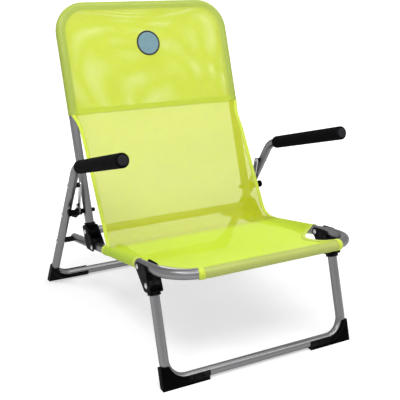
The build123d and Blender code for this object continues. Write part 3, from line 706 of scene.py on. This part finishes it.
def patch_piece(field, border):
    """Plain round patch: a flat woven field and a raised overlocked border that follow the hood."""
    field_radius = PATCH_RADIUS - PATCH_RIM

    def place(radius, angle, lift):
        x, up = radius * sin(angle), PATCH_UP + radius * cos(angle)
        return back_place(x, up, WRAP - hood_bow(x, up) + lift)

    angles = spaced(0, 2 * pi, PATCH_STEPS + 1)
    disc = []
    for radius in spaced(PATCH_HOLE, field_radius + PATCH_LAP, PATCH_FIELD_ROWS):
        disc.append([
            (place(radius, a, PATCH_THICKNESS), (radius * sin(a), radius * cos(a))) for a in angles])
    rolled = []
    middle = field_radius + PATCH_RIM / 2
    for turn in spaced(0, pi, PATCH_BORDER_ROWS):
        radius, lift = middle - PATCH_RIM / 2 * cos(turn), RIM_HEIGHT * sin(turn)
        rolled.append([
            (place(radius, a, lift + HEM_LIFT / 2), (a * PATCH_RADIUS, turn * PATCH_RIM))
            for a in angles])
    pieces = [
        cloth_object("patch_field", [disc], field), cloth_object("patch_border", [rolled], border)]
    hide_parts("hood_patch")
    for piece in pieces:
        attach(piece, "backrest")
    return pieces


# Back panel


def rounded_runs(points, radii):
    """A side view line with rounded corners, as runs of (start, direction, length, curvature)."""
    runs, start = [], points[0]
    for before, corner, after, radius in zip(points, points[1:], points[2:], radii):
        come, go = (corner - before).normalized(), (after - corner).normalized()
        turn = atan2(come.x * go.y - come.y * go.x, come.dot(go))
        cut = radius * tan(abs(turn) / 2)
        first = corner - come * cut
        runs.append((start, come, (first - start).length, 0.0))
        runs.append((first, come, radius * abs(turn), (1 if turn > 0 else -1) / radius))
        start = corner + go * cut
    runs.append((start, (points[-1] - start).normalized(), (points[-1] - start).length, 0.0))
    return runs


def panel_runs():
    """Side view line of the back panel: from the hood's front edge to the seat."""
    top = back_place(0, HOOD_BOTTOM, WRAP).yz
    knee = back_place(0, HOOD_BOTTOM - PANEL_KNEE_DROP, WRAP + PANEL_KNEE_OUT).yz
    corner = seat_place(0, PANEL_CORNER_ALONG, WRAP).yz
    end = seat_place(0, SEAT_REAR, WRAP).yz
    return rounded_runs([top, knee, corner, end], [PANEL_KNEE_BEND, PANEL_BEND])


PANEL_RUNS = panel_runs()
PANEL_LENGTH = sum(length for _, _, length, _ in PANEL_RUNS)
PANEL_CORNER = PANEL_LENGTH - PANEL_RUNS[-1][2] - PANEL_RUNS[-2][2] / 2


def panel_frame(distance):
    """(side view point, forward normal) at a distance down the back panel's line."""
    rest = distance
    for start, ahead, length, curvature in PANEL_RUNS:
        if rest <= length + END_SLACK:
            break
        rest -= length
    aside = Vector((-ahead.y, ahead.x))
    if not curvature:
        return start + ahead * rest, -aside
    angle = rest * curvature
    point = start + (ahead * sin(angle) + aside * (1 - cos(angle))) / curvature
    return point, ahead * sin(angle) - aside * cos(angle)


def panel_half(distance):
    """Half width of the back panel: its ends lap over the tubes."""
    head = max(0, 1 - distance / HEAD_FLARE)
    foot = max(0, 1 - (PANEL_LENGTH - distance) / FOOT_FLARE)
    over_head = SEAT_HALF + WRAP * HEAD_WRAP - PANEL_HALF
    over_foot = SEAT_HALF + WRAP * FOOT_WRAP - PANEL_HALF
    return PANEL_HALF + over_head * head * head + over_foot * foot * foot


def panel_place(distance, across, lift=0.0):
    """Point on the back panel, which wraps round the tube where it is wider than the tubes' spacing."""
    point, normal = panel_frame(distance)
    half = panel_half(distance)
    bow = HOOD_BOW * (1 - (across / half) ** 2) * cos(pi / 2 * distance / PANEL_LENGTH)
    bow += back_fold(distance, across / half)
    wrap = max(0, abs(across) - SEAT_HALF) / WRAP
    side = 1 if across > 0 else -1
    radius = WRAP + lift
    x = across if not wrap else side * (SEAT_HALF + radius * sin(wrap))
    depth = lift if not wrap else radius * cos(wrap) - WRAP
    point = point + normal * (depth - bow)
    return Vector((x, point.x, point.y))


def back_fold(distance, share):
    """Slack folds across the back panel, gone at its edges."""
    down = distance / PANEL_LENGTH
    folds = waves(BACK_WAVES, down, share)
    return BACK_FOLD * folds * max(0, 1 - share ** 4) * sin(pi * down)


def panel_distances():
    return spaced(0, PANEL_LENGTH, BACK_ROWS)


def bend_with_backrest(piece):
    """Bakes the piece's placing into its points; it is attached to neither the seat nor the backrest."""
    panel_place(PANEL_CORNER, 0)
    panel_place(0, 0)
    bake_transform(piece)
    return piece


def back_piece(look):
    rows = []
    for distance in panel_distances():
        half = panel_half(distance)
        acrosses = spaced(-half, half, CLOTH_COLUMNS)
        rows.append([(panel_place(distance, s), (s, -distance)) for s in acrosses])
    panel = cloth_object("back_cloth", [rows], look)
    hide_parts("back_panel")
    return bend_with_backrest(panel)


def back_hems(look):
    grids = []
    for side in (-1, 1):
        rows = []
        for distance in panel_distances():
            edge = panel_half(distance)
            widths = spaced(-HEM_LAP, HEM_WIDTH, HEM_STEPS)
            rows.append([
                (panel_place(distance, side * (edge - w), HEM_LIFT), (w, distance)) for w in widths])
        grids.append(rows)
    return bend_with_backrest(thicken(cloth_object("back_hems", grids, look), HEM_THICKNESS))


def back_stitching(look):
    lines = []
    lift = HEM_LIFT + HEM_THICKNESS / 2
    for side in (-1, 1):
        lines.append([
            panel_place(d, side * (panel_half(d) - HEM_WIDTH + STITCH_INSET), lift)
            for d in panel_distances()])
    return bend_with_backrest(stitches("back_stitching", lines, look))


# Seat panel


def seat_half(along):
    """Half width of the seat's sheet: to the side tubes, then in round the notched front corners."""
    if along <= NOTCH_REAR:
        return SEAT_HALF
    bend_start = NOTCH_REAR + NOTCH_STEP
    if along <= bend_start:
        return SEAT_HALF + (NOTCH_IN + NOTCH_BEND - SEAT_HALF) * (along - NOTCH_REAR) / NOTCH_STEP
    depth = NOTCH_BEND - (along - bend_start)
    if depth > 0:
        return NOTCH_IN + NOTCH_BEND - sqrt(NOTCH_BEND * NOTCH_BEND - depth * depth)
    share = (along - bend_start - NOTCH_BEND) / (SEAT_LENGTH - bend_start - NOTCH_BEND)
    return NOTCH_IN + (FRONT_SLEEVE_HALF - NOTCH_IN) * share


def seat_alongs():
    """Rows of the seat's sheet, close together round the notches."""
    bend_end = NOTCH_REAR + NOTCH_STEP + NOTCH_BEND
    rows = spaced(SEAT_REAR, NOTCH_REAR, SEAT_ROWS)[:-1]
    rows += spaced(NOTCH_REAR, NOTCH_REAR + NOTCH_STEP, NOTCH_STEP_ROWS)[:-1]
    for angle in spaced(0, pi / 2, NOTCH_BEND_ROWS)[:-1]:
        rows.append(NOTCH_REAR + NOTCH_STEP + NOTCH_BEND * (1 - cos(angle)))
    return rows + spaced(bend_end, SEAT_LENGTH, SEAT_FRONT_ROWS)


def bar_angle(x):
    """How far the front bar has turned at x: nought between its bends."""
    past = min(abs(x), SEAT_HALF) - SEAT_HALF + SEAT_BEND
    return asin(max(0, past) / SEAT_BEND)


def bar_setback(x):
    """How far the front bar lies behind its middle at x."""
    return SEAT_BEND * (1 - cos(bar_angle(x)))


def seat_dip(x, along):
    """How far the seat's sheet sags between the tubes."""
    share = (along - SEAT_REAR) / (SEAT_LENGTH - SEAT_REAR)
    if not 0 < share < 1:
        return 0.0
    slack = max(0, 1 - abs(x / SEAT_HALF) ** SEAT_SAG_POWER) * sin(pi * share ** SEAT_SAG_EASE)
    return (SEAT_SAG + SEAT_FOLD * waves(SEAT_WAVES, share, x)) * slack


def seat_cloth_place(x, along, lift=0.0):
    """Point on the seat's sheet, which sags between the tubes and lies on them at its edges."""
    near_bar = max(0, along - SEAT_KINK) / (SEAT_LENGTH - SEAT_KINK)
    inset = min(SEAT_HALF - abs(x), SEAT_LENGTH - along)
    above = WRAP - seat_dip(x, along)
    if abs(inset) < WRAP:
        above = max(above, sqrt(WRAP * WRAP - inset * inset))
    return seat_place(x, along - bar_setback(x) * near_bar, above + lift)


def sleeve_section(lift=0.0, start=0.0):
    """Section of a sleeve from the tube's top round its outside: (out, up, length of cloth)."""
    radius = WRAP + lift
    angles = spaced(start, SLEEVE_TURN, SLEEVE_STEPS)
    return [(radius * sin(a), radius * cos(a), WRAP * a) for a in angles]


def side_sleeve_place(side, along, out, up):
    return seat_place(side * (SEAT_HALF + out), along, up)


def front_sleeve_place(x, out, up):
    """Point on the front sleeve, square to the front bar where it meets x."""
    side = 1 if x > 0 else -1
    angle = bar_angle(x)
    along = SEAT_LENGTH - bar_setback(x)
    point = seat_place(x, along, up)
    return point + seat_place(side * out * sin(angle), out * cos(angle), 0) - seat_place(0, 0, 0)


def side_sleeve(side):
    """Cloth round a side tube, with a flap back up to the seam under the sheet."""
    rows = []
    for along in spaced(SIDE_SLEEVE_REAR, SIDE_SLEEVE_FRONT, SIDE_SLEEVE_ROWS):
        row = []
        for out, up, length in sleeve_section():
            flat = (side * (SEAT_HALF + length), along)
            row.append((side_sleeve_place(side, along, out, up), flat))
        inner = SEAT_HALF - SEAM_INSET
        last, length = row[-1][0], SEAT_HALF + WRAP * SLEEVE_TURN
        seam = seat_cloth_place(side * inner, along, -2 * HEM_LIFT)
        for share in spaced(0, 1, FLAP_STEPS)[1:]:
            flat = (side * (length + share * (seam - last).length), along)
            row.append((last.lerp(seam, share), flat))
        rows.append(row)
    return rows


def front_sleeve():
    """Cloth round the front bar, with a flap back to the seam under the sheet."""
    rows = []
    for x in spaced(-FRONT_SLEEVE_HALF, FRONT_SLEEVE_HALF, FRONT_SLEEVE_ROWS):
        row = []
        for out, up, length in sleeve_section():
            row.append((front_sleeve_place(x, out, up), (x, SEAT_LENGTH + length)))
        last, length = row[-1][0], SEAT_LENGTH + WRAP * SLEEVE_TURN
        seam = seat_cloth_place(x, SEAT_LENGTH - SEAM_INSET, -2 * HEM_LIFT)
        for share in spaced(0, 1, FLAP_STEPS)[1:]:
            row.append((last.lerp(seam, share), (x, length + share * (seam - last).length)))
        rows.append(row)
    return rows


def seat_piece(look, side_look, sleeve_look):
    """The sheet, with a sleeve on each side tube and one on the front bar."""
    sheet = []
    for along in seat_alongs():
        half = seat_half(along)
        xs = spaced(-half, half, CLOTH_COLUMNS)
        sheet.append([(seat_cloth_place(x, along), (x, along)) for x in xs])
    grids = [sheet, side_sleeve(-1), side_sleeve(1), front_sleeve()]
    seat = cloth_object("seat_cloth", grids, look, side_look, side_look, sleeve_look)
    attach(seat, "seat")
    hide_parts("seat_panel")
    return seat


def notch_line(inset):
    """The notch's edge, as (x, along) pairs, moved in square to the edge."""
    edge = [Vector((seat_half(a), a)) for a in seat_alongs() if a >= NOTCH_REAR]
    line = []
    for i, point in enumerate(edge):
        run = (edge[min(i + 1, len(edge) - 1)] - edge[max(i - 1, 0)]).normalized()
        line.append((point.x - inset * run.y, point.y + inset * run.x))
    return line


def seat_hems(look):
    """Bound edges: the notched corners, and a ring at each end of the sleeves."""
    grids = []
    section = sleeve_section(HEM_LIFT, RING_START)
    for side in (-1, 1):
        rows = []
        for inset in spaced(-HEM_LAP, HEM_WIDTH, HEM_STEPS):
            rows.append([
                (seat_cloth_place(side * x, a, HEM_LIFT), (inset, a)) for x, a in notch_line(inset)])
        grids.append(rows)
        for first in (SIDE_SLEEVE_REAR, SIDE_SLEEVE_FRONT - RING_WIDTH):
            grids.append([
                [(side_sleeve_place(side, along, out, up), (length, along))
                 for out, up, length in section]
                for along in spaced(first, first + RING_WIDTH, RING_ROWS)])
        grids.append([
            [(front_sleeve_place(side * x, out, up), (length, x)) for out, up, length in section]
            for x in spaced(FRONT_SLEEVE_HALF - RING_WIDTH, FRONT_SLEEVE_HALF, RING_ROWS)])
    hems = thicken(cloth_object("seat_hems", grids, look), HEM_THICKNESS)
    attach(hems, "seat")
    return hems


def seat_stitching(look):
    lines = []
    lift = STITCH_RADIUS / 2
    hem_lift = HEM_LIFT + HEM_THICKNESS / 2
    for side in (-1, 1):
        alongs = spaced(SEAT_REAR, NOTCH_REAR, SEAT_SEAM_POINTS)
        lines.append([seat_cloth_place(side * (SEAT_HALF - SEAM_INSET), a, lift) for a in alongs])
        notch = notch_line(HEM_WIDTH - STITCH_INSET)
        lines.append([seat_cloth_place(side * x, a, hem_lift) for x, a in notch])
    xs = spaced(-FRONT_SLEEVE_HALF, FRONT_SLEEVE_HALF, SEAT_SEAM_POINTS)
    lines.append([seat_cloth_place(x, SEAT_LENGTH - SEAM_INSET, lift) for x in xs])
    sewn = stitches("seat_stitching", lines, look)
    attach(sewn, "seat")
    return sewn


# The whole sling


def build_sling():
    """The hood, the back panel and the seat panel, each with its hems and seams, and the patch on the hood."""
    back_mesh = mesh_cloth("lime_mesh", BACK_LOOK)
    # The rim is a darker copy of the mesh, painted shade where the cloth lies on the tube; the hood fades into it
    # by the tube
    rim_shade_mesh = mesh_cloth("lime_mesh_rim_shade", RIM_SHADE_LOOK)
    hood_mesh = mesh_cloth("lime_mesh_hood", HOOD_LOOK, off_hoop_shade, RIM_SHADE_LOOK)
    # The seat goes from the back's look to its brighter copy, painted top light
    seat_top_lit_mesh = mesh_cloth("lime_mesh_dense", SEAT_TOP_LIT_LOOK, past_rear, BACK_LOOK)
    side_mesh = mesh_cloth("lime_mesh_side", SIDE_LOOK)
    sleeve_mesh = mesh_cloth("lime_mesh_sleeve", SLEEVE_LOOK)
    hem, yarn = hem_cloth(), thread()
    field = patch_cloth(
        "patch_field", (0.13, 0.25, 0.30, 1), (0.24, 0.42, 0.48, 1), FIELD_RIBS)
    border = patch_cloth(
        "patch_border", (0.003, 0.003, 0.0035, 1), (0.010, 0.010, 0.011, 1), BORDER_RIBS)
    hood = hood_piece(hood_mesh, rim_shade_mesh)
    back = back_piece(back_mesh)
    seat = seat_piece(seat_top_lit_mesh, side_mesh, sleeve_mesh)
    hood_goes = [hood_hem(hem), hood_stitching(yarn), *patch_piece(field, border)]
    back_goes = [back_hems(hem), back_stitching(yarn)]
    seat_goes = [seat_hems(hem), seat_stitching(yarn)]


# Frame, studio and camera


def dress_frame():
    """Materials for the CAD nodes that show."""
    looks = {
        "silver_tube": silver_paint(), "black_plastic": black_nylon(), "grey_plastic": grey_cap(),
        "black_foam": black_foam(), "bright_steel": zinc_steel()}
    for part in frame["record"]["subparts"]:
        look = looks.get(part["material_slot"])
        if look:
            mesh = frame["nodes"][part["node"]].data
            mesh.materials.clear()
            mesh.materials.append(look)


def seen_rays(tree):
    """One for rays that reach the eye straight, by a reflection or through glass."""
    path = node(tree, "ShaderNodeLightPath")
    seen = math(tree, "MAXIMUM", path.outputs["Is Camera Ray"], path.outputs["Is Glossy Ray"])
    return math(tree, "MAXIMUM", seen, path.outputs["Is Transmission Ray"])


def floor_look():
    """Pale floor that keeps the shadow near the chair and goes to plain white further off."""
    made, tree = material("studio_floor")
    away = vector_math(tree, "MULTIPLY", object_coordinates(tree), (1, 1, 0))
    away = node(tree, "ShaderNodeVectorMath", {0: away}, operation="LENGTH").outputs["Value"]
    lift = remap(tree, away, FLOOR_NEAR, FLOOR_FAR, FLOOR_NEAR_GLOW, 1.0)
    mirrored = node(tree, "ShaderNodeLightPath").outputs["Is Glossy Ray"]
    lift = math(tree, "MAXIMUM", lift, math(tree, "MULTIPLY", mirrored, FLOOR_MIRRORED_GLOW))
    matt = node(tree, "ShaderNodeBsdfDiffuse", {"Color": FLOOR_SHADE})
    strength = math(tree, "MULTIPLY", seen_rays(tree), lift)
    glow = node(tree, "ShaderNodeEmission", {"Strength": strength})
    both = node(tree, "ShaderNodeAddShader", {0: matt.outputs[0], 1: glow.outputs[0]})
    finish_material(tree, both.outputs[0])
    return made


def studio():
    """Floor, world and lamps."""
    mesh = bpy.data.meshes.new("floor")
    corners = [
        (x * FLOOR_REACH, y * FLOOR_REACH, 0) for x, y in ((-1, -1), (1, -1), (1, 1), (-1, 1))]
    mesh.from_pydata(corners, [], [(0, 1, 2, 3)])
    mesh.materials.append(floor_look())
    floor = add_object("floor", mesh)
    world = bpy.data.worlds.new("studio")
    world.use_nodes = True
    tree = world.node_tree
    tree.nodes.clear()
    strength = remap(tree, seen_rays(tree), 0, 1, WORLD_LIGHT, 1.0)
    sky = node(tree, "ShaderNodeBackground", {"Color": (1, 1, 1, 1), "Strength": strength})
    node(tree, "ShaderNodeOutputWorld", {"Surface": sky.outputs[0]})
    bpy.context.scene.world = world
    for row in LAMPS:
        lamp(*row)


def lamp(name, place, width, height, power):
    light = bpy.data.lights.new(name, "AREA")
    light.shape = "RECTANGLE"
    light.size = width
    light.size_y = height
    light.energy = power
    made = add_object(name, light)
    made.location = place
    made.rotation_euler = (VIEW_TARGET - Vector(place)).to_track_quat("-Z", "Y").to_euler()


def camera():
    """The camera as it was solved from the photograph."""
    data = bpy.data.cameras.new("camera")
    data.sensor_width = SENSOR * 1000
    data.lens = SENSOR * 1000 * FOCAL_PIXELS / IMAGE_PIXELS
    made = add_object("camera", data)
    level = cos(VIEW_ELEVATION)
    back = Vector((sin(VIEW_AZIMUTH) * level, -cos(VIEW_AZIMUTH) * level, sin(VIEW_ELEVATION)))
    made.location = VIEW_TARGET + back * VIEW_DISTANCE
    made.rotation_mode = "QUATERNION"
    made.rotation_quaternion = (-back).to_track_quat("-Z", "Y") @ Quaternion((0, 0, 1), VIEW_ROLL)
    bpy.context.scene.camera = made


bpy.context.scene.view_settings.view_transform = "Standard"
dress_frame()
build_sling()
studio()
camera()
bpy.context.view_layer.update()
